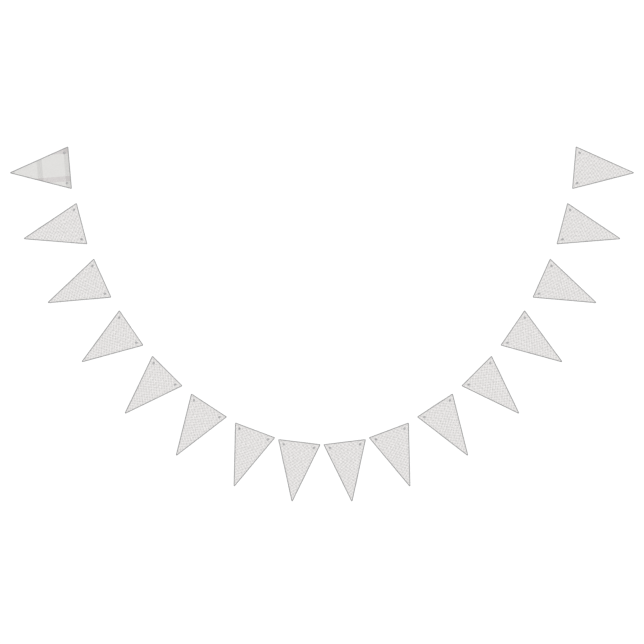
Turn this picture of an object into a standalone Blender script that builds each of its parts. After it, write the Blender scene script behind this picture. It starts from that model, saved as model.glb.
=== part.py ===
"""Bunting: equal triangular cloth pennants laid out flat in a swag, two metal eyelets in each heading.

Metres, +Z up. The cloth lies on the plane Z = 0. X runs along the swag and Y up it, and the origin is the
middle of the whole set's box, at the height of the surface it lies on.
"""
import math
from collections import namedtuple

import bmesh
import bpy
from mathutils import Matrix, Vector

# The pennant: its top edge is straight, and its two sides would meet at a sharp tip
FLAG_WIDTH = 0.152
FLAG_DROP = 0.218
CORNER_RADIUS = 0.002
CORNER_STEPS = 4
CLOTH_THICKNESS = 0.0012

# The heading is the strip of cloth along the top edge that the eyelets are set in
HEADING_DEPTH = 0.030
FACE_GAP = 0.0003

# The eyelets: a barrel through the cloth, with a domed flange above and a flat one pressed in below
EYELET_SPACING = 0.1086
EYELET_BELOW_TOP = 0.0152
EYELET_BORE_RADIUS = 0.0017
EYELET_WALL = 0.0004
UPPER_FLANGE_RADIUS = 0.0040
UPPER_FLANGE_RIM = 0.0036
LOWER_FLANGE_RADIUS = 0.0038
FLANGE_THICKNESS = 0.0005
LOWER_FLANGE_THICKNESS = 0.0004
EYELET_SIDES = 16
PUNCH_OVERRUN = 0.001

# The right half of the swag, from the middle outward. Each row gives the middle of one flag's top edge,
# across from the centre line and up from the two lowest flags, and how far its tip is turned outward.
Place = namedtuple("Place", "across up turn_deg")
RIGHT_HALF = (
    Place(0.081, 0.000, 7.0),
    Place(0.239, 0.042, 20.6),
    Place(0.404, 0.131, 33.2),
    Place(0.553, 0.254, 44.9),
    Place(0.682, 0.408, 55.5),
    Place(0.785, 0.586, 65.8),
    Place(0.859, 0.781, 75.4),
    Place(0.902, 0.981, 85.1),
)

# Each flag's left and right eyelet, seen with the tip pointing down
EYELET_CENTRES = {
    "left": Vector((-EYELET_SPACING / 2, -EYELET_BELOW_TOP, 0)),
    "right": Vector((EYELET_SPACING / 2, -EYELET_BELOW_TOP, 0)),
}
# These two flags' headings are punched like the others, but their eyelets aren't among the solids, which
# keeps the set at sixty pieces
FLAGS_WITHOUT_SOLID_EYELETS = (2, 15)
# The first flag is cut from a checked cotton, and the others from a mottled one
CHECKED_FLAG = 1

COTTON_GREY = (0.75, 0.74, 0.73)
COTTON_ROUGHNESS = 0.9
NICKEL_GREY = (0.42, 0.42, 0.43)
NICKEL_ROUGHNESS = 0.35

MERGE_DISTANCE = 0.000001
SMOOTH_ANGLE = math.radians(30)


def clear_scene():
    """Remove every object of the scene."""
    for thing in list(bpy.data.objects):
        bpy.data.objects.remove(thing, do_unlink=True)


def make_material(name, colour, roughness, metallic=0.0):
    """A Principled material of one colour."""
    material = bpy.data.materials.new(name)
    material.use_nodes = True
    shader = material.node_tree.nodes["Principled BSDF"]
    shader.inputs["Base Color"].default_value = (*colour, 1.0)
    shader.inputs["Roughness"].default_value = roughness
    shader.inputs["Metallic"].default_value = metallic
    material.diffuse_color = (*colour, 1.0)
    return material


def side_at(depth):
    """Half the pennant's width at a depth below its top edge."""
    return FLAG_WIDTH / 2 * (1 - depth / FLAG_DROP)


def rounded_outline(corners):
    """Points of a convex outline, anticlockwise, from rows of (x, y, corner radius)."""
    points = []
    count = len(corners)
    for index, (x, y, radius) in enumerate(corners):
        corner = Vector((x, y))
        if radius == 0:
            points.append(corner)
            continue
        before = (Vector(corners[index - 1][:2]) - corner).normalized()
        after = (Vector(corners[(index + 1) % count][:2]) - corner).normalized()
        half_angle = before.angle(after) / 2
        centre = corner + (before + after).normalized() * radius / math.sin(half_angle)
        first = corner + before * radius / math.tan(half_angle) - centre
        sweep = math.pi - 2 * half_angle
        for step in range(CORNER_STEPS + 1):
            turned = Matrix.Rotation(sweep * step / CORNER_STEPS, 2) @ first
            points.append(centre + turned)
    return points


def panel_outline():
    """The cloth triangle below the heading, with its rounded tip."""
    depth = HEADING_DEPTH + FACE_GAP
    return rounded_outline((
        (-side_at(depth), -depth, 0),
        (0, -FLAG_DROP, CORNER_RADIUS),
        (side_at(depth), -depth, 0),
    ))


def heading_outline():
    """The strip along the top edge, with the pennant's two rounded top corners."""
    foot = side_at(HEADING_DEPTH)
    return rounded_outline((
        (-foot, -HEADING_DEPTH, 0),
        (foot, -HEADING_DEPTH, 0),
        (FLAG_WIDTH / 2, 0, CORNER_RADIUS),
        (-FLAG_WIDTH / 2, 0, CORNER_RADIUS),
    ))


def finish_mesh(name, bm, material):
    """Turn a bmesh into a mesh with outward normals and one material."""
    bmesh.ops.recalc_face_normals(bm, faces=bm.faces)
    mesh = bpy.data.meshes.new(name)
    bm.to_mesh(mesh)
    bm.free()
    mesh.materials.append(material)
    return mesh


def cloth_mesh(name, outline, material):
    """A flat sheet of cloth of the outline, lying on Z = 0."""
    bm = bmesh.new()
    underside = bm.faces.new([bm.verts.new((x, y, 0)) for x, y in outline])
    raised = bmesh.ops.extrude_face_region(bm, geom=[underside], use_keep_orig=True)
    upper = [item for item in raised["geom"] if isinstance(item, bmesh.types.BMVert)]
    bmesh.ops.translate(bm, verts=upper, vec=(0, 0, CLOTH_THICKNESS))
    return finish_mesh(name, bm, material)


def turned_mesh(name, profile, centres, material):
    """The same turned shape at each centre, from one closed profile of (radius, height) points."""
    bm = bmesh.new()
    for centre in centres:
        ring = [bm.verts.new(centre + Vector((radius, 0, height))) for radius, height in profile]
        edges = [bm.edges.new((ring[index - 1], ring[index])) for index in range(len(ring))]
        bmesh.ops.spin(
            bm,
            geom=ring + edges,
            cent=centre,
            axis=(0, 0, 1),
            angle=2 * math.pi,
            steps=EYELET_SIDES,
            use_merge=True,
        )
    bmesh.ops.remove_doubles(bm, verts=bm.verts, dist=MERGE_DISTANCE)
    return finish_mesh(name, bm, material)


def eyelet_mesh(material):
    """One eyelet about its own axis: the barrel passes through the cloth, and the flanges hold it."""
    bore = EYELET_BORE_RADIUS
    barrel = bore + EYELET_WALL
    seat = CLOTH_THICKNESS + FACE_GAP
    top = seat + FLANGE_THICKNESS
    mesh = turned_mesh("eyelet", (
        (bore, 0),
        (LOWER_FLANGE_RADIUS, 0),
        (LOWER_FLANGE_RADIUS, LOWER_FLANGE_THICKNESS),
        (barrel, LOWER_FLANGE_THICKNESS),
        (barrel, seat),
        (UPPER_FLANGE_RADIUS, seat),
        (UPPER_FLANGE_RIM, top),
        (bore, top),
    ), (Vector((0, 0, 0)),), material)
    mesh.shade_smooth()
    mesh.set_sharp_from_angle(angle=SMOOTH_ANGLE)
    return mesh


def punched_heading_mesh(material):
    """The heading strip with a hole for each barrel and a pressed seat under it for the lower flange."""
    hole = EYELET_BORE_RADIUS + EYELET_WALL + FACE_GAP
    seat_radius = LOWER_FLANGE_RADIUS + FACE_GAP
    seat_height = LOWER_FLANGE_THICKNESS + FACE_GAP
    above = CLOTH_THICKNESS + PUNCH_OVERRUN
    punches = bpy.data.objects.new("punches", turned_mesh("punches", (
        (0, -PUNCH_OVERRUN),
        (seat_radius, -PUNCH_OVERRUN),
        (seat_radius, seat_height),
        (hole, seat_height),
        (hole, above),
        (0, above),
    ), EYELET_CENTRES.values(), material))
    strip = bpy.data.objects.new("strip", cloth_mesh("strip", heading_outline(), material))
    for thing in (punches, strip):
        bpy.context.scene.collection.objects.link(thing)
    cut = strip.modifiers.new("eyelet holes", "BOOLEAN")
    cut.operation = "DIFFERENCE"
    cut.object = punches
    bpy.context.view_layer.update()
    evaluated = strip.evaluated_get(bpy.context.evaluated_depsgraph_get())
    mesh = bpy.data.meshes.new_from_object(evaluated)
    mesh.name = "heading"
    for thing in (punches, strip):
        bpy.data.objects.remove(thing, do_unlink=True)
    return mesh


def swag_places():
    """All the flags' places from top left round to top right, as rows of (x, y, turn about Z)."""
    left = [(-row.across, row.up, -math.radians(row.turn_deg)) for row in reversed(RIGHT_HALF)]
    right = [(row.across, row.up, math.radians(row.turn_deg)) for row in RIGHT_HALF]
    return left + right


def middle_height(places):
    """The middle, up the swag, of the box that holds every flag's outline."""
    outline = panel_outline() + heading_outline()
    heights = [y + (Matrix.Rotation(turn, 2) @ point).y for _, y, turn in places for point in outline]
    return (min(heights) + max(heights)) / 2


def place_piece(name, mesh, flag, place=(0, 0, 0)):
    """One piece of a flag, placed in the frame of the flag's own empty."""
    piece = bpy.data.objects.new(name, mesh)
    piece.parent = flag
    piece.location = place
    bpy.context.scene.collection.objects.link(piece)


def build():
    """Make the pennants' shared meshes and lay out the swag."""
    clear_scene()
    mottled = make_material("mottled_cotton", COTTON_GREY, COTTON_ROUGHNESS)
    checked = make_material("checked_cotton", COTTON_GREY, COTTON_ROUGHNESS)
    steel = make_material("eyelet_steel", NICKEL_GREY, NICKEL_ROUGHNESS, metallic=1.0)

    eyelet = eyelet_mesh(steel)
    cloths = {}
    for cloth in (mottled, checked):
        panel = cloth_mesh("panel", panel_outline(), cloth)
        cloths[cloth.name] = (panel, punched_heading_mesh(cloth))

    places = swag_places()
    middle = middle_height(places)
    for number, (x, y, turn) in enumerate(places, start=1):
        flag = bpy.data.objects.new(f"flag_{number:02d}", None)
        flag.location = (x, y - middle, 0)
        flag.rotation_euler = (0, 0, turn)
        bpy.context.scene.collection.objects.link(flag)
        cloth = checked if number == CHECKED_FLAG else mottled
        panel, heading = cloths[cloth.name]
        place_piece(f"{flag.name}_panel", panel, flag)
        place_piece(f"{flag.name}_heading", heading, flag)
        if number in FLAGS_WITHOUT_SOLID_EYELETS:
            continue
        for side, centre in EYELET_CENTRES.items():
            place_piece(f"{flag.name}_eyelet_{side}", eyelet, flag, centre)


build()
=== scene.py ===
# %% [markdown]
# Bunting is a row of small flags for a feast. This one is a set of sixteen equal triangular pennants of pale
# woven cotton, laid out flat in a swag with their tips turned outward. Each has an overlocked grey edge and
# two small nickel eyelets in its heading, empty, for a cord to pass through.
#
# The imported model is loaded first. It fixes where every flag lies, and the finished pieces are built on it.

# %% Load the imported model
import math
from collections import namedtuple

import bmesh
import bpy
import numpy as np
from mathutils import Matrix, Vector


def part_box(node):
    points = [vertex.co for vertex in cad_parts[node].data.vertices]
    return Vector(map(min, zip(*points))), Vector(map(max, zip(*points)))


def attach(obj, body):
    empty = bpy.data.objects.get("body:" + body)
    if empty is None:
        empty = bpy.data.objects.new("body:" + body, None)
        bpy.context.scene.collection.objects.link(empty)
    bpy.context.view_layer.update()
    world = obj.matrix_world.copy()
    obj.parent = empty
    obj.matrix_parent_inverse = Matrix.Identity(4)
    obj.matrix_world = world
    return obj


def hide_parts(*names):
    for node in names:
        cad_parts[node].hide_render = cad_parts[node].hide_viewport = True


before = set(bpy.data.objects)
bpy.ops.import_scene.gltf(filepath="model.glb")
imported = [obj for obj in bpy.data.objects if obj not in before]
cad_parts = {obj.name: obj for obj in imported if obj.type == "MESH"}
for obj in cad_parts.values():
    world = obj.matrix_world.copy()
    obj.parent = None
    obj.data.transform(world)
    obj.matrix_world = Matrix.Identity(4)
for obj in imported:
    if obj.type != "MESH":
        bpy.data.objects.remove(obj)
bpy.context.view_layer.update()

# %% [markdown]
# The sizes of one flag come first, because everything on it is worked out from them. A triangular pennant
# of this kind is cut about 152 by 218 mm, and its corners are rounded by the overlock machine, which can't
# turn on a point. All lengths are in metres, so a millimetre gets a name.

# %% Sizes of one flag
MM = 0.001
FLAG_COUNT = 16
FLAG_WIDTH = 152 * MM
FLAG_DROP = 218 * MM
CORNER_RADIUS = 2 * MM
CLOTH_THICKNESS = 1.2 * MM
EYELET_SPACING = 108.6 * MM
EYELET_BELOW_TOP = 15.2 * MM

# Half the angle at the tip, and the distance from the middle of the top edge to either side
TIP_ANGLE = math.atan2(FLAG_WIDTH / 2, FLAG_DROP)
SIDE_REACH = FLAG_WIDTH / 2 * math.cos(TIP_ANGLE)
print("half the tip's angle, degrees:", round(math.degrees(TIP_ANGLE), 2))

# %% [markdown]
# Each flag is modelled once in its own frame: the middle of the top edge is the origin, X runs across and
# the tip points down -Y. To find where a flag lies, its two solids are read: the heading, which is the strip
# along the top edge, and the panel, which starts 30.3 mm below that edge. Seen from above, the two corners of
# the panel that are nearest the heading are its top corners, and the other points are round its tip.

# %% Where each flag lies
PANEL_START = 30.3 * MM
WELD = 0.01 * MM


def outline_points(node_name):
    """The corners of a solid seen from above, each once."""
    bm = bmesh.new()
    bm.from_mesh(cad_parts[node_name].data)
    for vert in bm.verts:
        vert.co.z = 0
    bmesh.ops.remove_doubles(bm, verts=bm.verts, dist=WELD)
    points = [vert.co.copy() for vert in bm.verts]
    bm.free()
    return points


def flag_matrix(number):
    """Carries a point from a flag's own frame to where that flag lies in the swag."""
    low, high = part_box(f"flag_{number:02d}_heading")
    heading = Vector(((low[0] + high[0]) / 2, (low[1] + high[1]) / 2, 0))
    points = sorted(outline_points(f"flag_{number:02d}_panel"), key=lambda point: (point - heading).length)
    top = (points[0] + points[1]) / 2
    tip = sum(points[2:], Vector()) / len(points[2:])
    down = (tip - top).normalized()
    turn = math.atan2(down.x, -down.y)
    return Matrix.Translation(top - down * PANEL_START) @ Matrix.Rotation(turn, 4, "Z")


flag_numbers = range(1, FLAG_COUNT + 1)
flag_places = {number: flag_matrix(number) for number in flag_numbers}
turns = [round(math.degrees(place.to_euler().z), 1) for place in flag_places.values()]
print("how far each flag is turned, degrees:", turns)

# %% [markdown]
# The camera looks straight down, because all the flags in the picture have the same size and none is seen
# at a slant. It stands far off with a long lens, so that there is hardly any perspective. It is aimed at the
# middle of the picture, which is 7 mm further up the swag than the middle of the set.

# %% Camera
FRAME_PIXELS = 644
PIXEL_SIZE = 3.578 * MM
PICTURE_MIDDLE = 7.2 * MM
CAMERA_HEIGHT = 9.0

camera_data = bpy.data.cameras.new("camera")
camera_data.lens = camera_data.sensor_width * CAMERA_HEIGHT / (FRAME_PIXELS * PIXEL_SIZE)
camera_data.clip_end = 4 * CAMERA_HEIGHT
camera = bpy.data.objects.new("camera", camera_data)
camera.location = (0, PICTURE_MIDDLE, CAMERA_HEIGHT)
bpy.context.scene.collection.objects.link(camera)
bpy.context.scene.camera = camera
print("lens, mm:", round(camera_data.lens, 1))

# %% [markdown]
# Materials are built from nodes. Two helpers are enough: one turns a hex colour, as a colour picker shows
# it, into the linear values that Blender wants, and one adds a node with its settings and its links.

# %% Helpers for materials


def linear(hex_colour):
    """Linear RGBA from an sRGB hex colour such as #c8c8c8."""
    channels = [int(hex_colour[start:start + 2], 16) / 255 for start in (1, 3, 5)]
    return [c / 12.92 if c <= 0.04045 else ((c + 0.055) / 1.055) ** 2.4 for c in channels] + [1.0]


def add(tree, kind, links=None, **settings):
    """Add a node. links maps an input's name or number to a socket to join or to a plain value."""
    node = tree.nodes.new(kind)
    for name, value in settings.items():
        setattr(node, name, value)
    for name, value in (links or {}).items():
        if isinstance(value, bpy.types.NodeSocket):
            tree.links.new(value, node.inputs[name])
        else:
            node.inputs[name].default_value = value
    return node


def start_material(name, **plain_values):
    """A material whose Principled shader has its plain values set, ready for its patterns."""
    material = bpy.data.materials.new(name)
    material.use_nodes = True
    shader = material.node_tree.nodes["Principled BSDF"]
    for words, value in plain_values.items():
        shader.inputs[words.replace("_", " ")].default_value = value
    return material, material.node_tree, shader


print("a mid grey, #808080, in linear light:", round(linear("#808080")[0], 3))

# %% [markdown]
# The cloth is a plain woven cotton: warp and weft threads pass over and under each other by turns. Real
# threads of this cloth lie about 0.5 mm apart, too fine to show from a step away, so they are drawn 0.9 mm
# apart. The pattern is worked out from each point's place on the cut cloth, which a UV map called cut holds
# in metres, so it turns with the flag as real threads do. Nearly all of it is waves over that place, each
# with a real length in metres.

# %% Places and waves on the cut cloth
THREAD_PITCH = 0.9 * MM
CUT_MAP = "cut"


def cut_coordinates(tree):
    """Two sockets with the place on the cut cloth: across the flag, and up from its top edge, in metres."""
    place = add(tree, "ShaderNodeUVMap", uv_map=CUT_MAP)
    apart = add(tree, "ShaderNodeSeparateXYZ", {0: place.outputs["UV"]})
    return apart.outputs["X"], apart.outputs["Y"]


def wave(tree, kind, distance, period, shift=0.0):
    """A sine or cosine of a distance, with a real period in metres."""
    turned = add(tree, "ShaderNodeMath", {
        0: distance, 1: 2 * math.pi / period, 2: shift,
    }, operation="MULTIPLY_ADD")
    return add(tree, "ShaderNodeMath", {0: turned.outputs[0]}, operation=kind).outputs[0]


print("warp threads across the top of a flag:", round(FLAG_WIDTH / THREAD_PITCH))

# %% [markdown]
# Spun yarn is twisted, which leaves fine slanted lines on it. On a thread that runs up and down they go from
# lower left to upper right, and on one that runs across they are turned by a right angle with it.

# %% The twist of the yarn
TWIST_STEP = 0.25 * MM
TWIST_SLANT = 0.6


def twist_lines(tree, across, up, warp_shows):
    """A value from -1 to 1 for the slanted lines on whichever thread shows."""
    on_warp = add(tree, "ShaderNodeMath", {0: across, 1: -TWIST_SLANT, 2: up}, operation="MULTIPLY_ADD")
    on_weft = add(tree, "ShaderNodeMath", {0: up, 1: TWIST_SLANT, 2: across}, operation="MULTIPLY_ADD")
    shown = add(tree, "ShaderNodeMix", {
        "Factor": warp_shows, "A": on_weft.outputs[0], "B": on_warp.outputs[0],
    }, data_type="FLOAT")
    return wave(tree, "COSINE", shown.outputs["Result"], TWIST_STEP)


print("twist lines along one crossing:", round(THREAD_PITCH / TWIST_STEP, 1))

# %% [markdown]
# Across one thread the height goes up and down as a sine. Where the two sines have the same sign the warp
# lies on top, and elsewhere the weft does: that is all a plain weave is. The stretch of thread that shows is
# rounded across, and at both its ends it dives under the next thread, so it looks like a small pillow. Its
# twist is added as a small share of the height.

# %% Plain weave
DIVE = 0.4
TWIST_SHARE = 0.1


def plain_weave(tree, across, up):
    """Two sockets: the weave's height, about 0 between threads and 1 on top, and 1 where the warp shows."""
    warp = wave(tree, "SINE", across, 2 * THREAD_PITCH)
    weft = wave(tree, "SINE", up, 2 * THREAD_PITCH)
    meet = add(tree, "ShaderNodeMath", {0: warp, 1: weft}, operation="MULTIPLY")
    warp_on_top = add(tree, "ShaderNodeMath", {0: meet.outputs[0], 1: 0.0}, operation="GREATER_THAN")
    warp_height = add(tree, "ShaderNodeMath", {0: warp}, operation="ABSOLUTE")
    weft_height = add(tree, "ShaderNodeMath", {0: weft}, operation="ABSOLUTE")
    across_it = add(tree, "ShaderNodeMix", {
        "Factor": warp_on_top.outputs[0], "A": weft_height.outputs[0], "B": warp_height.outputs[0],
    }, data_type="FLOAT")
    along_it = add(tree, "ShaderNodeMix", {
        "Factor": warp_on_top.outputs[0], "A": warp_height.outputs[0], "B": weft_height.outputs[0],
    }, data_type="FLOAT")
    dived = add(tree, "ShaderNodeMapRange", {
        "Value": along_it.outputs["Result"], "To Min": 1 - DIVE, "To Max": 1.0,
    })
    pillow = add(tree, "ShaderNodeMath", {
        0: across_it.outputs["Result"], 1: dived.outputs[0],
    }, operation="MULTIPLY")
    height = add(tree, "ShaderNodeMath", {
        0: twist_lines(tree, across, up, warp_on_top.outputs[0]), 1: TWIST_SHARE, 2: pillow.outputs[0],
    }, operation="MULTIPLY_ADD")
    return height.outputs[0], warp_on_top.outputs[0]


print("height at a pillow's ends, as a share of its middle:", 1 - DIVE)

# %% [markdown]
# A woven pattern can only change from one thread to the next. So its waves aren't read at the point itself,
# but at the thread that the point is on: the distance is cut down to a whole number of threads first.

# %% Whole threads


def snap_to_threads(tree, distance):
    """A distance cut down to a whole number of threads."""
    return add(tree, "ShaderNodeMath", {0: distance, 1: THREAD_PITCH}, operation="SNAP").outputs[0]


print("weft threads from the top edge to the tip:", int(FLAG_DROP / THREAD_PITCH))

# %% [markdown]
# Fifteen of the flags carry a faint figure: rows of small, slightly darker spots, each row set half a step
# sideways, as dobby-woven figures are. Two waves multiplied give that half-drop at once, and a slow third
# wave makes three rows strong and then the next three, which is how the cloth in the picture looks.
#
# A woven figure isn't shaded like a drawing: each crossing shows one of two yarns. Between the spots both
# the warp and the weft are light, in the outer part of a spot only the warp is the darker yarn, so every
# second crossing is dark, and in its middle both are. The spots of a soft, washed cotton have ragged edges,
# so a noise is added to the waves before the yarns are chosen.

# %% The spotted figure
SPOT_STEP_ACROSS = 14.6 * MM
SPOT_STEP_DOWN = 11.8 * MM
GROUP_HEIGHT = 59 * MM
GROUP_STRENGTH = 0.45
GROUP_SHIFT = 0.6
RAGGED_SIZE = 4.5 * MM
RAGGEDNESS = 2.0
NOISE_MIDDLE = 0.5
WARP_DARK_ABOVE = -0.2
WEFT_DARK_ABOVE = 0.42
LIGHT_YARN = "#eae8e7"
DARK_YARN = "#d4d2d1"


def spotted_tone(tree, across, up, warp_shows):
    """The colour of the figured cotton."""
    crossing = [snap_to_threads(tree, way) for way in (across, up)]
    columns = wave(tree, "COSINE", crossing[0], SPOT_STEP_ACROSS)
    rows = wave(tree, "COSINE", crossing[1], SPOT_STEP_DOWN)
    groups = wave(tree, "COSINE", crossing[1], GROUP_HEIGHT, GROUP_SHIFT)
    grouped = add(tree, "ShaderNodeMath", {0: groups, 1: GROUP_STRENGTH, 2: rows}, operation="MULTIPLY_ADD")
    even = add(tree, "ShaderNodeMath", {0: columns, 1: grouped.outputs[0]}, operation="MULTIPLY")
    here = add(tree, "ShaderNodeCombineXYZ", {"X": crossing[0], "Y": crossing[1]})
    ragged = add(tree, "ShaderNodeTexNoise", {
        "Vector": here.outputs[0], "Scale": 1 / RAGGED_SIZE, "Detail": 1.0,
    }, noise_dimensions="2D")
    strayed = add(tree, "ShaderNodeMath", {0: ragged.outputs[0], 1: NOISE_MIDDLE}, operation="SUBTRACT")
    figure = add(tree, "ShaderNodeMath", {
        0: strayed.outputs[0], 1: RAGGEDNESS, 2: even.outputs[0],
    }, operation="MULTIPLY_ADD")
    needed = add(tree, "ShaderNodeMix", {
        "Factor": warp_shows, "A": WEFT_DARK_ABOVE, "B": WARP_DARK_ABOVE,
    }, data_type="FLOAT")
    dark = add(tree, "ShaderNodeMath", {
        0: figure.outputs[0], 1: needed.outputs["Result"],
    }, operation="GREATER_THAN")
    tone = add(tree, "ShaderNodeMix", {
        "Factor": dark.outputs[0], "A": linear(LIGHT_YARN), "B": linear(DARK_YARN),
    }, data_type="RGBA")
    return tone.outputs["Result"]


print("threads from one spot to the next in its row:", round(SPOT_STEP_ACROSS / THREAD_PITCH))

# %% [markdown]
# The first flag is cut from another cotton of much the same colour: plain, with wide bands that cross each
# other, a simple windowpane check. A band is wherever a slow wave is high. The warp's bands are a warm grey
# and show only where the warp lies on top, and the weft's are a neutral grey and show where the weft does.
# So where two bands cross every thread is a dark one, and the tone is darkest.

# %% The checked bands
CHECK_PITCH = 99 * MM
BAND_WIDTH = 19 * MM
WARP_BAND_MIDDLE = 38 * MM
WEFT_BAND_MIDDLE = -9.1 * MM
CHECKED_GROUND = "#e0dfdd"
WARP_BAND = "#c8c1c2"
WEFT_BAND = "#c8c7c5"


def band_here(tree, distance, middle):
    """1 where a thread belongs to a band, and 0 where it doesn't."""
    shift = -2 * math.pi * middle / CHECK_PITCH
    swell = wave(tree, "COSINE", snap_to_threads(tree, distance), CHECK_PITCH, shift)
    edge = math.cos(math.pi * BAND_WIDTH / CHECK_PITCH)
    return add(tree, "ShaderNodeMath", {0: swell, 1: edge}, operation="GREATER_THAN").outputs[0]


def checked_tone(tree, across, up, warp_shows):
    """The colour of the checked cotton."""
    warp_tone = add(tree, "ShaderNodeMix", {
        "Factor": band_here(tree, across, WARP_BAND_MIDDLE),
        "A": linear(CHECKED_GROUND),
        "B": linear(WARP_BAND),
    }, data_type="RGBA")
    weft_tone = add(tree, "ShaderNodeMix", {
        "Factor": band_here(tree, up, WEFT_BAND_MIDDLE),
        "A": linear(CHECKED_GROUND),
        "B": linear(WEFT_BAND),
    }, data_type="RGBA")
    tone = add(tree, "ShaderNodeMix", {
        "Factor": warp_shows, "A": weft_tone.outputs["Result"], "B": warp_tone.outputs["Result"],
    }, data_type="RGBA")
    return tone.outputs["Result"]


print("threads in one band:", round(BAND_WIDTH / THREAD_PITCH))

# %% [markdown]
# Cotton yarn is never even: it has slubs, thicker and thinner stretches that take up more or less of the
# light, so a cloth shows short streaks along its threads. A noise gives each thread its own. It is stretched
# along the thread, and whichever thread lies on top at a place is the one that is read. Warp and weft take
# theirs from two places of the noise that are far apart. The spotted cotton is the more slubby one, which
# gives it the mottled look of the picture.

# %% Slubs
SLUB_LENGTH = 9 * MM
YARN_LIKENESS = 0.55
FAR_APART = 40.0


def slubs(tree, across, up, warp_shows):
    """A value about 0.5 for the unevenness of the thread that shows."""
    streaks = []
    for along, aside in ((up, across), (across, up)):
        length = add(tree, "ShaderNodeMath", {0: along, 1: 1 / SLUB_LENGTH}, operation="MULTIPLY")
        thread = add(tree, "ShaderNodeMath", {
            0: snap_to_threads(tree, aside), 1: YARN_LIKENESS / THREAD_PITCH, 2: FAR_APART * len(streaks),
        }, operation="MULTIPLY_ADD")
        address = add(tree, "ShaderNodeCombineXYZ", {"X": length.outputs[0], "Y": thread.outputs[0]})
        streaks.append(add(tree, "ShaderNodeTexNoise", {
            "Vector": address.outputs[0], "Scale": 1.0, "Detail": 2.0,
        }, noise_dimensions="2D"))
    shown = add(tree, "ShaderNodeMix", {
        "Factor": warp_shows, "A": streaks[1].outputs[0], "B": streaks[0].outputs[0],
    }, data_type="FLOAT")
    return shown.outputs["Result"]


print("crossings along one slub:", round(SLUB_LENGTH / THREAD_PITCH))

# %% [markdown]
# Both cottons share the rest. The dips between threads are painted a little darker, as painted shade, because
# less light reaches them.
# Cotton is matt, so the roughness is high, and its fine fuzz gives a slight sheen at grazing angles. Its
# fibres are cellulose, with an IOR of about 1.53. The slubs' noise mostly stays between a quarter and three
# quarters, and that range is spread over the depth of tone that each cotton asks for.

# %% Build the two cottons
DIP_SHADE_DEPTH = 0.23
WEAVE_RELIEF = 0.12 * MM
NOISE_LOW = 0.25
NOISE_HIGH = 0.75
MOTTLED_SLUBS = 0.17
CHECKED_SLUBS = 0.05


def woven_cotton(name, tone_of, slub_depth):
    """A matt woven cotton whose colour is worked out by tone_of."""
    material, tree, shader = start_material(
        name, Roughness=0.92, IOR=1.53, Sheen_Weight=0.12, Sheen_Roughness=0.6)
    across, up = cut_coordinates(tree)
    height, warp_shows = plain_weave(tree, across, up)
    shade = add(tree, "ShaderNodeMapRange", {
        "Value": slubs(tree, across, up, warp_shows),
        "From Min": NOISE_LOW, "From Max": NOISE_HIGH, "To Min": 1 - slub_depth, "To Max": 1 + slub_depth,
    }, clamp=False)
    # Painted shade: the lower the weave's height, between the threads, the darker the colour
    dip_shade = add(tree, "ShaderNodeMapRange", {"Value": height, "To Min": 1 - DIP_SHADE_DEPTH, "To Max": 1.0})
    light = add(tree, "ShaderNodeMath", {0: shade.outputs[0], 1: dip_shade.outputs[0]}, operation="MULTIPLY")
    colour = add(tree, "ShaderNodeVectorMath", {
        0: tone_of(tree, across, up, warp_shows), "Scale": light.outputs[0],
    }, operation="SCALE")
    bump = add(tree, "ShaderNodeBump", {"Height": height, "Distance": WEAVE_RELIEF, "Strength": 0.8})
    tree.links.new(colour.outputs[0], shader.inputs["Base Color"])
    tree.links.new(bump.outputs["Normal"], shader.inputs["Normal"])
    return material


cottons = {
    "mottled_cotton": woven_cotton("mottled_cotton", spotted_tone, MOTTLED_SLUBS),
    "checked_cotton": woven_cotton("checked_cotton", checked_tone, CHECKED_SLUBS),
}
CHECKED_FLAG = 1
cotton_of = {
    number: "checked_cotton" if number == CHECKED_FLAG else "mottled_cotton" for number in flag_numbers
}
print("nodes in the mottled cotton:", len(cottons["mottled_cotton"].node_tree.nodes))

# %% [markdown]
# The edge is overlocked with grey textured polyester, which has hardly any twist. It spreads out flat under
# tension, and its filaments show as fine lines along it that slowly wind round. A UV map of its own, thread,
# has the length along it and the share of the way round it. Polyester is smoother than cotton and has an
# IOR of about 1.58, so it is a little glossier.

# %% Polyester thread
THREAD_MAP = "thread"
FILAMENT_LINES = 9
WINDING = 3.2 * MM
FILAMENT_RELIEF = 0.05 * MM
THREAD_COLOUR = "#9a9a9b"
SHADED_COLOUR = "#767677"

overlock_thread, thread_tree, thread_shader = start_material("polyester_thread", Roughness=0.6, IOR=1.58)
thread_place = add(thread_tree, "ShaderNodeUVMap", uv_map=THREAD_MAP)
thread_apart = add(thread_tree, "ShaderNodeSeparateXYZ", {0: thread_place.outputs["UV"]})
lines_round = add(thread_tree, "ShaderNodeMath", {
    0: thread_apart.outputs["Y"], 1: FILAMENT_LINES,
}, operation="MULTIPLY")
lines_wound = add(thread_tree, "ShaderNodeMath", {
    0: thread_apart.outputs["X"], 1: 1 / WINDING, 2: lines_round.outputs[0],
}, operation="MULTIPLY_ADD")
filament = wave(thread_tree, "COSINE", lines_wound.outputs[0], 1.0)
filament_height = add(thread_tree, "ShaderNodeMapRange", {
    "Value": filament, "From Min": -1.0, "From Max": 1.0,
})
# Painted shade: the colour falls to the shaded grey in the grooves between the filaments
filament_shade_colour = add(thread_tree, "ShaderNodeMix", {
    "Factor": filament_height.outputs[0], "A": linear(SHADED_COLOUR), "B": linear(THREAD_COLOUR),
}, data_type="RGBA")
filament_bump = add(thread_tree, "ShaderNodeBump", {
    "Height": filament_height.outputs[0], "Distance": FILAMENT_RELIEF,
})
thread_tree.links.new(filament_shade_colour.outputs["Result"], thread_shader.inputs["Base Color"])
thread_tree.links.new(filament_bump.outputs["Normal"], thread_shader.inputs["Normal"])
print("nodes in the polyester thread:", len(thread_tree.nodes))

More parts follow.
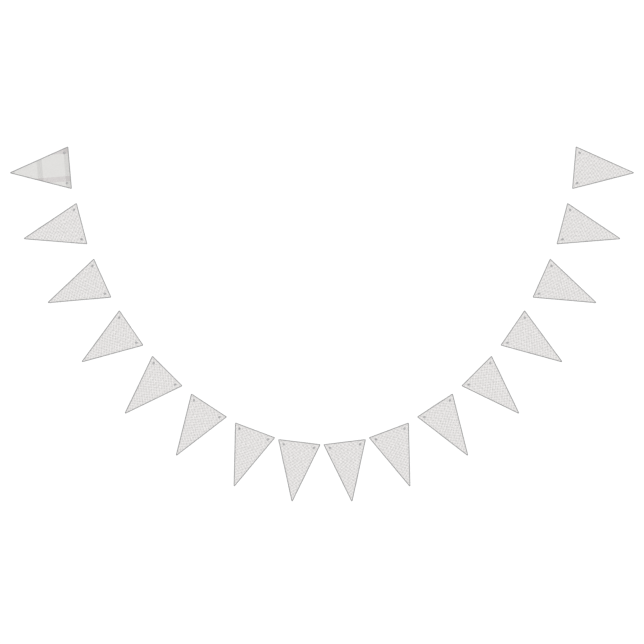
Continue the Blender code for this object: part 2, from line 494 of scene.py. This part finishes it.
# %% [markdown]
# The eyelets are stamped from thin steel, nickel-plated and rolled over, and dulled by handling to a mid
# grey. A metal's colour is the colour of its reflections, so the base colour is what makes it dark. Fine
# scuffs vary the roughness, and a shallow unevenness from rolling breaks up the highlights. A metal keeps
# Blender's own IOR.

# %% Dulled nickel
UPPER_FLANGE = 4.0 * MM
SCUFF_SIZE = 0.6 * MM
SCUFF_RELIEF = 0.03 * MM
SMOOTHEST = 0.26
ROUGHEST = 0.46
DARK_NICKEL = "#98989a"
LIGHT_NICKEL = "#a5a5a6"

nickel, nickel_tree, nickel_shader = start_material("dulled_nickel", Metallic=1.0)
nickel_place = add(nickel_tree, "ShaderNodeTexCoord").outputs["Object"]
scuffs = add(nickel_tree, "ShaderNodeTexNoise", {
    "Vector": nickel_place, "Scale": 1 / SCUFF_SIZE, "Detail": 4.0,
})
scuff_roughness = add(nickel_tree, "ShaderNodeMapRange", {
    "Value": scuffs.outputs[0], "From Min": 0.3, "From Max": 0.7, "To Min": SMOOTHEST, "To Max": ROUGHEST,
})
scuff_colour = add(nickel_tree, "ShaderNodeMix", {
    "Factor": scuffs.outputs[0], "A": linear(DARK_NICKEL), "B": linear(LIGHT_NICKEL),
}, data_type="RGBA")
scuff_bump = add(nickel_tree, "ShaderNodeBump", {"Height": scuffs.outputs[0], "Distance": SCUFF_RELIEF})
nickel_tree.links.new(scuff_colour.outputs["Result"], nickel_shader.inputs["Base Color"])
nickel_tree.links.new(scuff_roughness.outputs["Result"], nickel_shader.inputs["Roughness"])
nickel_tree.links.new(scuff_bump.outputs["Normal"], nickel_shader.inputs["Normal"])
print("scuffs across one eyelet:", round(2 * UPPER_FLANGE / SCUFF_SIZE))

# %% [markdown]
# Next comes the shape of the cut cloth. The sheet is made of rows of points from the top edge to the tip,
# and half_width says how far each row reaches. It follows the straight side, and an arc at the top corners
# and at the tip.

# %% The outline of a flag
# The arc of a top corner ends at this depth, and its centre lies this far to the side
CORNER_END = CORNER_RADIUS * (1 + math.sin(TIP_ANGLE))
CORNER_ACROSS = (SIDE_REACH - CORNER_END) / math.cos(TIP_ANGLE)
# The arc of the tip has its centre at this depth, and it starts at this one
TIP_CENTRE = (SIDE_REACH - CORNER_RADIUS) / math.sin(TIP_ANGLE)
TIP_START = TIP_CENTRE + CORNER_RADIUS * math.sin(TIP_ANGLE)


def half_width(depth):
    """Half the width of the flag at a depth below its top edge."""
    if depth < CORNER_END:
        return CORNER_ACROSS + math.sqrt(max(CORNER_RADIUS ** 2 - (depth - CORNER_RADIUS) ** 2, 0))
    if depth > TIP_START:
        return math.sqrt(max(CORNER_RADIUS ** 2 - (depth - TIP_CENTRE) ** 2, 0))
    return FLAG_WIDTH / 2 * (1 - depth / FLAG_DROP)


print("drop to the end of the rounded tip, mm:", round((TIP_CENTRE + CORNER_RADIUS) / MM, 1))

# %% [markdown]
# The rows are set closer together round the corners and the tip. Across a row the points are even, apart
# from two columns at each side, which are kept for the stitched band along the edge. Where the flag is too
# narrow for the whole band, near the tip, the band takes its share of the row.

# %% Rows and columns of the sheet
ROW_SPACING = 4.5 * MM
CORNER_ROWS = 6
COLUMNS = 28
BAND = 2.6 * MM
BAND_SHARE = 0.35


def row_depths():
    """Depths of the rows of points below the top edge."""
    corner_turn = np.linspace(0, math.pi / 2 + TIP_ANGLE, CORNER_ROWS)
    tip_turn = np.linspace(TIP_ANGLE, math.pi / 2, CORNER_ROWS)
    corner = CORNER_RADIUS * (1 - np.cos(corner_turn))
    tip = TIP_CENTRE + CORNER_RADIUS * np.sin(tip_turn)
    count = round((TIP_START - CORNER_END) / ROW_SPACING)
    middle = np.linspace(CORNER_END, TIP_START, count)[1:-1]
    return np.concatenate([corner, middle, tip])


def column_places(half):
    """Places across one row that reaches half to either side."""
    band = min(BAND / math.cos(TIP_ANGLE), BAND_SHARE * half)
    inner = np.linspace(-half + band, half - band, COLUMNS - 4)
    return np.concatenate([[-half, -half + band / 2], inner, [half - band / 2, half]])


print("rows and columns of points:", len(row_depths()), COLUMNS)

# %% [markdown]
# The overlock squeezes the cloth, so at its very edge the sheet is half as thick. From there to the inner
# side of the stitched band it swells smoothly to its full thickness.

# %% Squeezed along the edge
EDGE_THICKNESS = 0.6 * MM


def side_distance(x, depth):
    """How far a point is inside the nearest straight edge of the flag."""
    return np.minimum(depth, SIDE_REACH - np.abs(x) * math.cos(TIP_ANGLE) - depth * math.sin(TIP_ANGLE))


def thickness_at(x, depth):
    """The cloth's thickness: full inside, and squeezed within the stitched band."""
    share = np.clip(side_distance(x, depth) / BAND, 0, 1)
    return EDGE_THICKNESS + (CLOTH_THICKNESS - EDGE_THICKNESS) * share * share * (3 - 2 * share)


print("thickness in the middle of the band, mm:", round(float(thickness_at(0, BAND / 2)) / MM, 2))

# %% [markdown]
# The sheet has a lower and an upper face of the same rows and columns. Round its rim the two are joined by
# one row of faces. The last row has no width, so its points all lie on the tip, and they are welded there.

# %% Cut the sheet


def cut_cloth():
    """The flat sheet of one flag, with both faces and its rim."""
    bm = bmesh.new()
    layers = []
    for side in (-1, 1):
        rows = []
        for depth in row_depths():
            across = column_places(half_width(depth))
            heights = CLOTH_THICKNESS / 2 + side * thickness_at(across, depth) / 2
            rows.append([bm.verts.new((x, -depth, z)) for x, z in zip(across, heights)])
        for above, below in zip(rows, rows[1:]):
            for left in range(COLUMNS - 1):
                corners = [above[left], below[left], below[left + 1], above[left + 1]]
                bm.faces.new(corners if side > 0 else corners[::-1])
        left_edge = [row[0] for row in rows]
        right_edge = [row[-1] for row in rows]
        layers.append(left_edge + rows[-1][1:-1] + right_edge[::-1] + rows[0][-2:0:-1])
    lower, upper = layers
    for here in range(len(lower)):
        after = (here + 1) % len(lower)
        bm.faces.new([lower[here], lower[after], upper[after], upper[here]])
    bmesh.ops.remove_doubles(bm, verts=bm.verts, dist=WELD)
    bmesh.ops.recalc_face_normals(bm, faces=bm.faces)
    mesh = bpy.data.meshes.new("cut_cloth")
    bm.to_mesh(mesh)
    bm.free()
    return mesh


blank_cloth = cut_cloth()
print("faces in the sheet before it is punched:", len(blank_cloth.polygons))

# %% [markdown]
# The two holes for the eyelets' barrels are punched: two cylinders are taken away with a Boolean, which
# keeps the rest of the mesh in tidy rows.

# %% Punch the holes
HOLE_RADIUS = 2.4 * MM
HOLE_SIDES = 48
PUNCH_LENGTH = 4 * CLOTH_THICKNESS


def punch_mesh():
    """A cylinder through the cloth at the place of each eyelet."""
    bm = bmesh.new()
    for side in (-1, 1):
        middle = Matrix.Translation((side * EYELET_SPACING / 2, -EYELET_BELOW_TOP, CLOTH_THICKNESS / 2))
        bmesh.ops.create_cone(bm, cap_ends=True, segments=HOLE_SIDES, radius1=HOLE_RADIUS,
                              radius2=HOLE_RADIUS, depth=PUNCH_LENGTH, matrix=middle)
    mesh = bpy.data.meshes.new("punch")
    bm.to_mesh(mesh)
    bm.free()
    return mesh


def punched(mesh):
    """The sheet with a round hole for each eyelet's barrel."""
    punch = bpy.data.objects.new("punch", punch_mesh())
    blank = bpy.data.objects.new("blank", mesh)
    for thing in (punch, blank):
        bpy.context.scene.collection.objects.link(thing)
    cut = blank.modifiers.new("holes", "BOOLEAN")
    cut.operation = "DIFFERENCE"
    cut.object = punch
    bpy.context.view_layer.update()
    holed = bpy.data.meshes.new_from_object(blank.evaluated_get(bpy.context.evaluated_depsgraph_get()))
    for thing in (punch, blank):
        bpy.data.objects.remove(thing, do_unlink=True)
    return holed


flat_cloth = punched(blank_cloth)
print("faces in the punched sheet:", len(flat_cloth.polygons))

# %% [markdown]
# Laid cloth is never quite flat. Most of each flag touches the table, and here and there it stands off by
# up to about a millimetre, in a different place on each flag. A few slow waves do this. Each has the distance
# across the flag, or down it, in which it goes on by one radian, and the next flag's are shifted by 2.4
# radians. Only the crests count, and they rise softly. Near the eyelets, whose metal holds the cloth down,
# they fade out.

# %% How each flag lies
BROAD_ACROSS = 34 * MM
BROAD_DOWN = 61 * MM
SECOND_DOWN = 43 * MM
SECOND_SHIFT = 0.7
NARROW_ACROSS = 47 * MM
NARROW_DOWN = 19 * MM
NARROW_SHARE = 0.35
SHIFT_BY_FLAG = 2.4
LIFT = 1.6 * MM
CREST = 0.45
CREST_RISE = 1.5
CREST_SOFTNESS = 0.4
EYELET_CALM = 24 * MM
CALM_RISE = 4


def crests(x, y, number):
    """How far the waves of one flag stand above the level where they count."""
    shift = SHIFT_BY_FLAG * number
    broad = np.sin(x / BROAD_ACROSS + y / BROAD_DOWN + shift)
    second = np.cos(y / SECOND_DOWN - SECOND_SHIFT * shift)
    narrow = NARROW_SHARE * np.sin(y / NARROW_DOWN + x / NARROW_ACROSS + shift)
    return np.clip(broad * second + narrow - CREST, 0, None)


def lift(points, number):
    """How far the cloth stands off the table at each point of a flag, in its own frame."""
    x, y = points[:, 0], points[:, 1]
    crest = crests(x, y, number)
    calm = 1.0
    for side in (-1, 1):
        away = np.hypot(x - side * EYELET_SPACING / 2, y + EYELET_BELOW_TOP)
        calm = calm * (1 - np.exp(-((away / EYELET_CALM) ** CALM_RISE)))
    return LIFT * crest ** CREST_RISE / (CREST_SOFTNESS + crest) * calm


def mesh_points(mesh):
    """The points of a mesh as an array."""
    flat = np.empty(3 * len(mesh.vertices))
    mesh.vertices.foreach_get("co", flat)
    return flat.reshape(-1, 3)


lifts = [lift(mesh_points(flat_cloth), number) for number in flag_numbers]
print("highest lift of each flag, mm:", [round(heights.max() / MM, 2) for heights in lifts])

# %% [markdown]
# Every piece of a flag is placed the same way: its mesh is carried from the flag's own frame to the flag's
# place, as the solids' meshes are, and its object rides on the model's one body. Before that, what is soft
# is given the unevenness of its flag, so that the cloth and the thread round it rise together.

# %% Placing pieces
BODY = "root"
TOUCHING = 0.05 * MM


def lay_down(mesh, number):
    """Give a flag's mesh the unevenness of that flag."""
    points = mesh_points(mesh)
    points[:, 2] += lift(points, number)
    mesh.vertices.foreach_set("co", points.ravel())
    mesh.update()


def place_piece(name, mesh, material, place):
    """An object for one piece, whose mesh is carried from its own frame to its place."""
    mesh.transform(place)
    mesh.materials.clear()
    mesh.materials.append(material)
    piece = bpy.data.objects.new(name, mesh)
    bpy.context.scene.collection.objects.link(piece)
    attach(piece, BODY)
    return piece


touching = np.mean([heights < TOUCHING for heights in lifts])
print("share of the cloth that will touch the table:", round(float(touching), 2))

# %% [markdown]
# Sixteen copies of the flat sheet become the flags. Each point's place is written down in the map called cut
# while the sheet is still flat, and then the sheet is laid down unevenly. Smooth shading would smear the
# light round the rim of the holes, so edges that turn sharply are kept sharp.

# %% The sheets of cloth
SHARP_ANGLE = math.radians(50)


def write_cut_map(mesh):
    """Keep each point's place on the cut cloth in a UV map, in metres."""
    corner_points = np.empty(len(mesh.loops), dtype=np.int32)
    mesh.loops.foreach_get("vertex_index", corner_points)
    cut_map = mesh.uv_layers.new(name=CUT_MAP)
    cut_map.uv.foreach_set("vector", mesh_points(mesh)[corner_points, :2].astype(np.float32).ravel())


for number in flag_numbers:
    cloth_mesh = flat_cloth.copy()
    write_cut_map(cloth_mesh)
    lay_down(cloth_mesh, number)
    cloth_mesh.shade_smooth()
    cloth_mesh.set_sharp_from_angle(angle=SHARP_ANGLE)
    cotton = cotton_of[number]
    cloth = place_piece(f"flag_{number:02d}_cloth", cloth_mesh, cottons[cotton], flag_places[number])
    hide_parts(f"flag_{number:02d}_panel", f"flag_{number:02d}_heading")

# %% [markdown]
# A narrow overlock runs round the whole flag. On the real machine two looper threads wrap the edge, and a
# needle thread holds them along a line a couple of millimetres in. The wraps are what shows: each goes from
# the needle line over the edge and back underneath, leaning a little, and the soft thread spreads out flat
# until it presses against its neighbours.
#
# The line of the edge comes first. It goes anticlockwise round three arcs, the tip, the right top corner and
# the left one, and straight from each to the next. At every point the direction that points out is kept too.

# %% The line of the edge
CURVE_POINTS = 12
Curve = namedtuple("Curve", "start end centre")
EDGE_CURVES = (
    Curve(math.pi + TIP_ANGLE, 2 * math.pi - TIP_ANGLE, (0, -TIP_CENTRE)),
    Curve(-TIP_ANGLE, math.pi / 2, (CORNER_ACROSS, -CORNER_RADIUS)),
    Curve(math.pi / 2, math.pi + TIP_ANGLE, (-CORNER_ACROSS, -CORNER_RADIUS)),
)


def edge_line():
    """Points of the rounded outline, and at each the direction that points out, in radians."""
    points, directions = [], []
    for curve in EDGE_CURVES:
        for turn in np.linspace(curve.start, curve.end, CURVE_POINTS):
            out = np.array((math.cos(turn), math.sin(turn)))
            points.append(np.array(curve.centre) + CORNER_RADIUS * out)
            directions.append(turn)
    return np.array(points), np.unwrap(directions)


print("points in the line of the edge:", len(edge_line()[0]))

# %% [markdown]
# Along that line the wraps stand at nearly even steps, as a real machine sets them. Each reaches in about as
# far as the overlock is wide. Near the tip the flag is too narrow for that, so there the wraps of the two
# sides stop short of the middle line, until they come to a least reach, with which they overlap.

# %% Stations along the edge
WRAP_PITCH = 1.45 * MM
PITCH_UNEVEN = 0.05
OVERLOCK_WIDTH = 2.3 * MM
LEAST_REACH = 1.5 * MM
SHORT_OF_MIDDLE = 0.9
REACH_UNEVEN = 0.04
FACING_SIDEWAYS = 0.5


def stations(seed):
    """Steps along the edge: each place, its outward direction and how far the wrap reaches in."""
    points, turns_out = edge_line()
    closed = np.vstack([points, points[:1]])
    closed_turns = np.append(turns_out, turns_out[0] + 2 * math.pi)
    length = np.concatenate([[0], np.cumsum(np.linalg.norm(np.diff(closed, axis=0), axis=1))])
    count = round(length[-1] / WRAP_PITCH)
    chance = np.random.default_rng(seed)
    at = (np.arange(count) + PITCH_UNEVEN * chance.standard_normal(count)) * length[-1] / count % length[-1]
    place = np.stack([np.interp(at, length, closed[:, axis]) for axis in (0, 1)], axis=1)
    turn = np.interp(at, length, closed_turns)
    out = np.stack([np.cos(turn), np.sin(turn)], axis=1)
    on_side = np.abs(out[:, 0]) > FACING_SIDEWAYS
    to_middle = np.where(on_side, np.abs(place[:, 0]) / math.cos(TIP_ANGLE), OVERLOCK_WIDTH)
    reach = np.clip(SHORT_OF_MIDDLE * to_middle, LEAST_REACH, OVERLOCK_WIDTH)
    reach = reach * (1 + REACH_UNEVEN * chance.standard_normal(count))
    return place, out, reach


edge_places, edge_outs, edge_reaches = stations(seed=1)
print("wraps round one flag:", len(edge_places))

# %% [markdown]
# All thread here is modelled as tubes: rings of points, one after another, with faces between each ring and
# the next. The points are numbered ring after ring, so one small function lists the faces of any tube. A
# closed one also has faces from its last ring back to its first.

# %% Faces of a tube


def tube_faces(rings, sides, closed=False):
    """Faces between the rings of a tube, each as its four corners' numbers in order."""
    ring_pairs = [(ring, ring + 1) for ring in range(rings - 1)]
    if closed:
        ring_pairs.append((rings - 1, 0))
    return np.array([
        (here * sides + side, after * sides + side, after * sides + (side + 1) % sides,
         here * sides + (side + 1) % sides)
        for here, after in ring_pairs for side in range(sides)
    ])


print("faces of a tube of three rings with six sides:", len(tube_faces(3, 6)))

# %% [markdown]
# Each wrap is a flattened tube that follows a short table, and all the wraps of a flag are worked out at
# once. For each ring the table gives the share of the reach that it lies inside the edge, its height over the
# cloth's underside in millimetres, how far it leans along the edge in wraps, and its share of the full width.
# The first and last rings are points, hidden in the cloth, so each wrap is a closed shape of its own.

# %% The wraps of thread
Ring = namedtuple("Ring", "inside height lean width")
WRAP_RINGS = (
    Ring(1.05, 0.85, 0.50, 0.0),
    Ring(0.85, 1.13, 0.42, 0.8),
    Ring(0.45, 1.20, 0.22, 1.0),
    Ring(0.07, 1.04, 0.05, 1.0),
    Ring(-0.07, 0.60, 0.00, 1.0),
    Ring(0.07, 0.21, -0.05, 1.0),
    Ring(0.45, 0.18, -0.22, 1.0),
    Ring(1.00, 0.32, -0.45, 0.0),
)
WRAP_HALF_WIDTH = 0.82 * MM
WRAP_HALF_THICKNESS = 0.17 * MM
WRAP_SIDES = 6
POINTS_IN_WRAP = len(WRAP_RINGS) * WRAP_SIDES


def wraps(place, out, reach):
    """Points of all the wraps, as an array of wraps, rings and sides."""
    inside, height, lean, width = np.array(WRAP_RINGS).T
    count = len(place)
    outward = np.stack([out[:, 0], out[:, 1], np.zeros(count)], axis=1)
    forward = np.stack([-out[:, 1], out[:, 0], np.zeros(count)], axis=1)
    middle = np.zeros((count, len(inside), 3))
    middle[:, :, :2] = place[:, None]
    middle -= outward[:, None] * (reach[:, None] * inside)[:, :, None]
    middle += forward[:, None] * (lean * WRAP_PITCH)[None, :, None]
    middle[:, :, 2] = height * MM
    course = np.gradient(middle, axis=1)
    course /= np.linalg.norm(course, axis=2, keepdims=True)
    flat_way = np.broadcast_to(forward[:, None], middle.shape)
    thin_way = np.cross(course, flat_way)
    thin_way /= np.linalg.norm(thin_way, axis=2, keepdims=True)
    turn = 2 * math.pi * np.arange(WRAP_SIDES) / WRAP_SIDES
    spread = flat_way[:, :, None] * (WRAP_HALF_WIDTH * np.cos(turn))[None, None, :, None]
    spread = spread + thin_way[:, :, None] * (WRAP_HALF_THICKNESS * np.sin(turn))[None, None, :, None]
    return middle[:, :, None] + spread * width[None, :, None, None]


print("points in one wrap:", POINTS_IN_WRAP)

# %% [markdown]
# The needle thread is one closed tube along the inner ends of the wraps. It dips into the cloth once for
# every wrap, so it reads as a row of short stitches.

# %% The needle thread
NEEDLE_RADIUS = 0.2 * MM
NEEDLE_SIDES = 5
NEEDLE_INSIDE = 0.97
NEEDLE_HEIGHTS = (1.26 * MM, 1.08 * MM)


def needle_line(place, out, reach):
    """Points of the needle thread's tube, ring after ring."""
    inner = place - out * reach[:, None] * NEEDLE_INSIDE
    between = (inner + np.roll(inner, -1, axis=0)) / 2
    count = 2 * len(inner)
    middle = np.zeros((count, 3))
    middle[0::2, :2], middle[1::2, :2] = inner, between
    middle[0::2, 2], middle[1::2, 2] = NEEDLE_HEIGHTS
    course = np.roll(middle, -1, axis=0) - np.roll(middle, 1, axis=0)
    course /= np.linalg.norm(course, axis=1, keepdims=True)
    sideways = np.cross(course, (0, 0, 1))
    sideways /= np.linalg.norm(sideways, axis=1, keepdims=True)
    upward = np.cross(sideways, course)
    turn = 2 * math.pi * np.arange(NEEDLE_SIDES) / NEEDLE_SIDES
    ring = sideways[:, None] * np.cos(turn)[None, :, None] + upward[:, None] * np.sin(turn)[None, :, None]
    return middle[:, None] + ring * NEEDLE_RADIUS


print("rings in one needle thread:", len(needle_line(edge_places, edge_outs, edge_reaches)))

# %% [markdown]
# The thread's UV map has the length along the thread first. It is the number of the ring times a usual
# distance between two rings, which is near enough for filament lines. The second number goes round the
# thread, and there the last face has to reach a full turn instead of falling back to zero. The same holds
# for the last ring of a closed tube.

# %% The map of the thread
WRAP_RING_LENGTH = OVERLOCK_WIDTH / 3
NEEDLE_RING_LENGTH = WRAP_PITCH / 2


def thread_map_values(faces, sides, ring_length):
    """UV values for the corners of tube faces: length along the thread, and share of a turn."""
    ring, side = faces // sides, faces % sides
    side = np.where((side == 0) & (np.arange(4) >= 2), sides, side)
    ring = np.where((ring == 0) & (ring.max(axis=1, keepdims=True) > 1), ring.max() + 1, ring)
    return np.stack([ring * ring_length, side / sides], axis=2)


wrap_tube = tube_faces(len(WRAP_RINGS), WRAP_SIDES)
wrap_map = thread_map_values(wrap_tube, WRAP_SIDES, WRAP_RING_LENGTH)
print("length of one wrap in its map, mm:", round(wrap_map[:, :, 0].max() / MM, 1))

# %% [markdown]
# Wraps and needle thread are joined into one mesh for each flag. Then the end rings of the wraps, whose
# points are all the same, are welded, with a distance so small that two wraps that touch stay apart. Each
# flag has a seed of its own, so no two edges are quite alike.

# %% Build the overlock of each flag
SAME_POINT = 0.00001 * MM


def overlock_mesh(name, seed):
    """The wraps and the needle thread of one flag, in its own frame."""
    place, out, reach = stations(seed)
    count = len(place)
    wrap_points = wraps(place, out, reach).reshape(-1, 3)
    wrap_faces = (wrap_tube[None] + POINTS_IN_WRAP * np.arange(count)[:, None, None]).reshape(-1, 4)
    needle_points = needle_line(place, out, reach)
    needle_faces = tube_faces(len(needle_points), NEEDLE_SIDES, closed=True)
    needle_map = thread_map_values(needle_faces, NEEDLE_SIDES, NEEDLE_RING_LENGTH)
    points = np.concatenate([wrap_points, needle_points.reshape(-1, 3)])
    faces = np.concatenate([wrap_faces, needle_faces + len(wrap_points)])
    mesh = bpy.data.meshes.new(name)
    mesh.from_pydata(points, [], faces.tolist())
    thread_map = mesh.uv_layers.new(name=THREAD_MAP)
    values = np.concatenate([np.tile(wrap_map, (count, 1, 1)), needle_map]).astype(np.float32)
    thread_map.uv.foreach_set("vector", values.ravel())
    bm = bmesh.new()
    bm.from_mesh(mesh)
    bmesh.ops.remove_doubles(bm, verts=bm.verts, dist=SAME_POINT)
    bmesh.ops.recalc_face_normals(bm, faces=bm.faces)
    bm.to_mesh(mesh)
    bm.free()
    mesh.shade_smooth()
    return mesh


for number in flag_numbers:
    name = f"flag_{number:02d}_overlock"
    mesh = overlock_mesh(name, seed=number)
    lay_down(mesh, number)
    place_piece(name, mesh, overlock_thread, flag_places[number])

# %% [markdown]
# An eyelet is a short tube, pushed through a hole in the cloth and rolled outward at both ends. It is turned
# from a profile: up the bore, round the roll at its top, down over the domed upper flange to the rim, back
# under it to the barrel, and round the flat lower flange that is pressed into the cloth.

# %% The profile of an eyelet
BORE = 1.7 * MM
BARREL = 2.1 * MM
LOWER_FLANGE = 3.8 * MM
EYELET_TOP = 2.0 * MM
UPPER_ROLL = 0.7 * MM
LOWER_ROLL = 0.35 * MM
UPPER_RIM = 0.16 * MM
LOWER_RIM = 0.2 * MM
DOME_DROP = 0.32 * MM
DOME_POINTS = 4
FLANGE_UNDERSIDE = 1.35 * MM


def arc(centre, radius, start, end, steps=5):
    """Points of (radius, height) along an arc, from one angle to another in degrees."""
    angles = np.radians(np.linspace(start, end, steps))
    return [(centre[0] + radius * math.cos(angle), centre[1] + radius * math.sin(angle)) for angle in angles]


def dome():
    """Points from the top of the roll down over the upper flange to its rim."""
    summit = BORE + UPPER_ROLL
    return [
        (summit + share * (UPPER_FLANGE - UPPER_RIM - summit), EYELET_TOP - DOME_DROP * share ** 2)
        for share in np.linspace(0, 1, DOME_POINTS + 1)[1:]
    ]


def eyelet_profile():
    """The closed outline of the metal, as (radius, height) points."""
    return (
        arc((BORE + LOWER_ROLL, LOWER_ROLL), LOWER_ROLL, 270, 180)
        + arc((BORE + UPPER_ROLL, EYELET_TOP - UPPER_ROLL), UPPER_ROLL, 180, 90, steps=7)
        + dome()
        + arc((UPPER_FLANGE - UPPER_RIM, FLANGE_UNDERSIDE + UPPER_RIM), UPPER_RIM, 60, -90)
        + [(BARREL, FLANGE_UNDERSIDE), (BARREL, 2 * LOWER_RIM)]
        + arc((LOWER_FLANGE - LOWER_RIM, LOWER_RIM), LOWER_RIM, 90, -90)
    )


print("points in the profile:", len(eyelet_profile()))

# %% [markdown]
# The profile is turned round the eyelet's axis. Each turned copy of it is a ring, and all the rings make a
# tube that closes on itself, so the faces are found as for the threads. Their corners are taken the other
# way round, because only then do these faces look outward.

# %% Turn one eyelet
EYELET_SIDES = 40


def eyelet_mesh():
    """One eyelet about its own axis."""
    radius, height = np.array(eyelet_profile()).T
    turn = 2 * math.pi * np.arange(EYELET_SIDES) / EYELET_SIDES
    points = np.empty((EYELET_SIDES, len(radius), 3))
    points[:, :, 0] = np.cos(turn)[:, None] * radius
    points[:, :, 1] = np.sin(turn)[:, None] * radius
    points[:, :, 2] = height
    faces = tube_faces(EYELET_SIDES, len(radius), closed=True)[:, ::-1]
    mesh = bpy.data.meshes.new("eyelet")
    mesh.from_pydata(points.reshape(-1, 3), [], faces.tolist())
    mesh.shade_smooth()
    mesh.set_sharp_from_angle(angle=SHARP_ANGLE)
    return mesh


eyelet = eyelet_mesh()
print("faces in one eyelet:", len(eyelet.polygons))

# %% [markdown]
# Each flag gets two, a hair's breadth proud of the cloth below, as they are above. The solids have eyelets
# on fourteen of the flags only, so on the other two there is no solid for the finished ones to replace.

# %% Set the eyelets
PROUD_BELOW = 0.05 * MM

for number in flag_numbers:
    for side, sign in (("left", -1), ("right", 1)):
        seat = Matrix.Translation((sign * EYELET_SPACING / 2, -EYELET_BELOW_TOP, -PROUD_BELOW))
        node = f"flag_{number:02d}_eyelet_{side}"
        place = flag_places[number] @ seat
        piece = place_piece(f"{node}_metal", eyelet.copy(), nickel, place)
        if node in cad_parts:
            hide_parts(node)

# %% [markdown]
# The cut is a triangle, so its flat area is given too: half the width times the drop. The rounded corners
# take off too little to count.

# %% [markdown]
# The flags lie on a plain white table top, matt and hardly reflective, such as white laminate. One square
# face is enough. It lies a hair below the cloth, so that the two don't flicker into each other, and it is
# part of the stage, not of the object.

# %% The table top
TABLE_SIZE = 40.0
TABLE_BELOW = 0.2 * MM
TABLE_WHITE = "#fafafa"

table_material, _, _ = start_material(
    "white_laminate", Base_Color=linear(TABLE_WHITE), Roughness=0.8, Specular_IOR_Level=0.2)
table_bm = bmesh.new()
bmesh.ops.create_grid(table_bm, x_segments=1, y_segments=1, size=TABLE_SIZE / 2)
table_mesh = bpy.data.meshes.new("table_top")
table_bm.to_mesh(table_mesh)
table_bm.free()
table_mesh.materials.append(table_material)
table_top = bpy.data.objects.new("table_top", table_mesh)
table_top.location.z = -TABLE_BELOW
bpy.context.scene.collection.objects.link(table_top)
print("the table top lies below the cloth by, mm:", TABLE_BELOW / MM)

# %% [markdown]
# The light is soft and even, with hardly a shadow. A white sky gives nearly all of it. A weak, broad sun from
# one side is added so that the threads and the slight lift of the cloth can be read from other angles. The
# display transform is the plain one, so a tone set here is the tone seen.

# %% Sky and sun
SKY_STRENGTH = 0.98
SUN_STRENGTH = 0.6
SUN_TILT = (math.radians(38), 0, math.radians(35))
SUN_BREADTH = math.radians(30)

world = bpy.data.worlds.new("white_sky")
world.use_nodes = True
sky = world.node_tree.nodes["Background"]
sky.inputs["Color"].default_value = (1.0, 1.0, 1.0, 1.0)
sky.inputs["Strength"].default_value = SKY_STRENGTH
bpy.context.scene.world = world

sun_data = bpy.data.lights.new("sun", "SUN")
sun_data.energy = SUN_STRENGTH
sun_data.angle = SUN_BREADTH
sun = bpy.data.objects.new("sun", sun_data)
sun.rotation_euler = SUN_TILT
bpy.context.scene.collection.objects.link(sun)
bpy.context.scene.view_settings.view_transform = "Standard"
print("strength of the sky and of the sun:", SKY_STRENGTH, SUN_STRENGTH)
